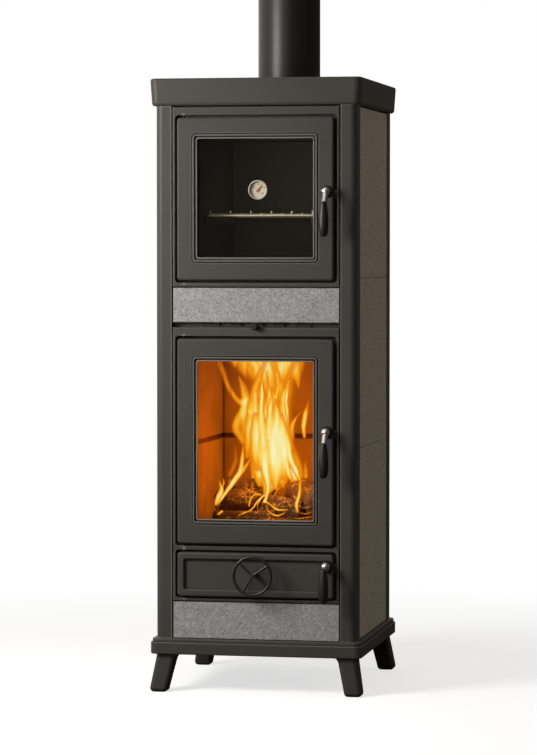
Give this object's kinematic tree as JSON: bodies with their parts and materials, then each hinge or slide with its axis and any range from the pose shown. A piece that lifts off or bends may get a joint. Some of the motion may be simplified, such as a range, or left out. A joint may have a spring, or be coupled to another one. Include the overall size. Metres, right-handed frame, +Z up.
{
  "type": "cast iron wood stove with oven",
  "caption": "Tall narrow cast iron and soapstone wood stove: glazed firebox below, glazed baking oven with rack above, hinged ash door with air wheel, top flue outlet.",
  "frame": {"origin": "on the floor, under the middle of the whole stove's box", "axes": "+Z up, the doors face -Y, +X to the right seen from the front"},
  "size_m": [0.4332, 0.501, 1.4911],
  "materials": {
    "cast_iron_painted": "heat-resistant matt paint",
    "cast_iron_raw": "rough, fired",
    "soapstone": "honed",
    "fire_brick": "pressed, dry",
    "sheet_steel_painted": "heat-resistant matt paint",
    "sheet_steel": "mill finish",
    "oven_steel": "enamel",
    "flue_steel": "heat-resistant satin paint",
    "fire_glass": "polished",
    "rope": "knitted glass fibre",
    "plated_steel": "polished",
    "steel": "turned",
    "rack_wire": "plated wire",
    "handle_black": "matt, moulded",
    "dial": "printed, matt",
    "dial_needle": "lacquered"
  },
  "bodies": {
    "stove": {"back_panel": "sheet_steel_painted", "baffle_plate": "fire_brick", "base_plate": "cast_iron_painted", "fire_front_frame": "cast_iron_painted", "fire_grate": "cast_iron_raw", "firebox_shell": "sheet_steel", "flue_collar": "cast_iron_painted", "flue_pipe": "flue_steel", "front_stone_lower": "soapstone", "front_stone_upper": "soapstone", "hearth_plate": "cast_iron_raw", "hinge_pins": "steel", "leg_front_left": "cast_iron_painted", "leg_front_right": "cast_iron_painted", "leg_rear_left": "cast_iron_painted", "leg_rear_right": "cast_iron_painted", "lining_back": "fire_brick", "lining_left": "fire_brick", "lining_right": "fire_brick", "oven_front_frame": "cast_iron_painted", "oven_muffle": "oven_steel", "post_front_left": "cast_iron_painted", "post_front_right": "cast_iron_painted", "post_rear_left": "cast_iron_painted", "post_rear_right": "cast_iron_painted", "rack_runners": "oven_steel", "side_stones_left": "soapstone", "side_stones_right": "soapstone", "smoke_jacket": "sheet_steel", "tie_rods": "steel", "top_plate": "cast_iron_painted"},
    "oven_rack": {"oven_rack": "rack_wire"},
    "ash_pan": {"ash_pan": "sheet_steel"},
    "secondary_air": {"secondary_air_slide": "sheet_steel_painted", "secondary_air_knob": "handle_black"},
    "oven_door": {"oven_door": "cast_iron_painted", "oven_window_bead": "cast_iron_painted", "oven_door_glass": "fire_glass", "oven_glass_clips": "sheet_steel", "oven_door_rope": "rope", "thermometer_case": "plated_steel", "thermometer_dial": "dial", "thermometer_lens": "fire_glass"},
    "thermometer_needle": {"thermometer_needle": "dial_needle"},
    "oven_handle": {"oven_latch_spindle": "plated_steel", "oven_handle_grip": "handle_black"},
    "fire_door": {"fire_door": "cast_iron_painted", "fire_window_bead": "cast_iron_painted", "fire_door_glass": "fire_glass", "fire_glass_clips": "sheet_steel", "fire_door_rope": "rope"},
    "fire_handle": {"fire_latch_spindle": "plated_steel", "fire_handle_grip": "handle_black"},
    "ash_door": {"ash_door": "cast_iron_painted", "ash_door_liner": "sheet_steel", "ash_door_rope": "rope"},
    "ash_handle": {"ash_latch_spindle": "plated_steel", "ash_handle_grip": "handle_black"},
    "air_wheel": {"air_wheel": "cast_iron_painted", "air_register_disc": "sheet_steel"}
  },
  "joints": [
    {"name": "oven_door_hinge", "type": "hinge", "parent": "stove", "child": "oven_door", "pos_m": [-0.147, -0.1895, 0.8298], "axis": [0, 0, -1], "range_deg": [0, 110]},
    {"name": "oven_handle_turn", "type": "hinge", "parent": "oven_door", "child": "oven_handle", "pos_m": [0.146, -0.2065, 1.006], "axis": [0, -1, 0], "range_deg": [-15, 90]},
    {"name": "fire_door_hinge", "type": "hinge", "parent": "stove", "child": "fire_door", "pos_m": [-0.147, -0.1895, 0.3015], "axis": [0, 0, -1], "range_deg": [0, 110]},
    {"name": "fire_handle_turn", "type": "hinge", "parent": "fire_door", "child": "fire_handle", "pos_m": [0.146, -0.2065, 0.5285], "axis": [0, -1, 0], "range_deg": [-15, 90]},
    {"name": "ash_door_hinge", "type": "hinge", "parent": "stove", "child": "ash_door", "pos_m": [-0.147, -0.1895, 0.1954], "axis": [0, 0, -1], "range_deg": [0, 110]},
    {"name": "ash_handle_turn", "type": "hinge", "parent": "ash_door", "child": "ash_handle", "pos_m": [0.146, -0.2065, 0.261], "axis": [0, -1, 0], "range_deg": [-15, 90]},
    {"name": "thermometer_needle_turn", "type": "hinge", "parent": "oven_door", "child": "thermometer_needle", "pos_m": [0.0062, -0.1985, 1.01], "axis": [0, -1, 0], "range_deg": [-90, 170]},
    {"name": "air_wheel_turn", "type": "hinge", "parent": "ash_door", "child": "air_wheel", "pos_m": [0, -0.2065, 0.241], "axis": [0, -1, 0], "range_deg": [0, 60]},
    {"name": "secondary_air_slide", "type": "slide", "parent": "stove", "child": "secondary_air", "axis": [1, 0, 0], "range_m": [-0.022, 0.022]},
    {"name": "oven_rack_slide", "type": "slide", "parent": "stove", "child": "oven_rack", "axis": [0, -1, 0], "range_m": [0, 0.145]},
    {"name": "ash_pan_slide", "type": "slide", "parent": "stove", "child": "ash_pan", "axis": [0, -1, 0], "range_m": [0, 0.145]}
  ],
  "couplings": [
    {"joint": "oven_rack_slide", "follows": "oven_door_hinge", "m_per_rad": 0.075},
    {"joint": "ash_pan_slide", "follows": "ash_door_hinge", "m_per_rad": 0.075}
  ]
}
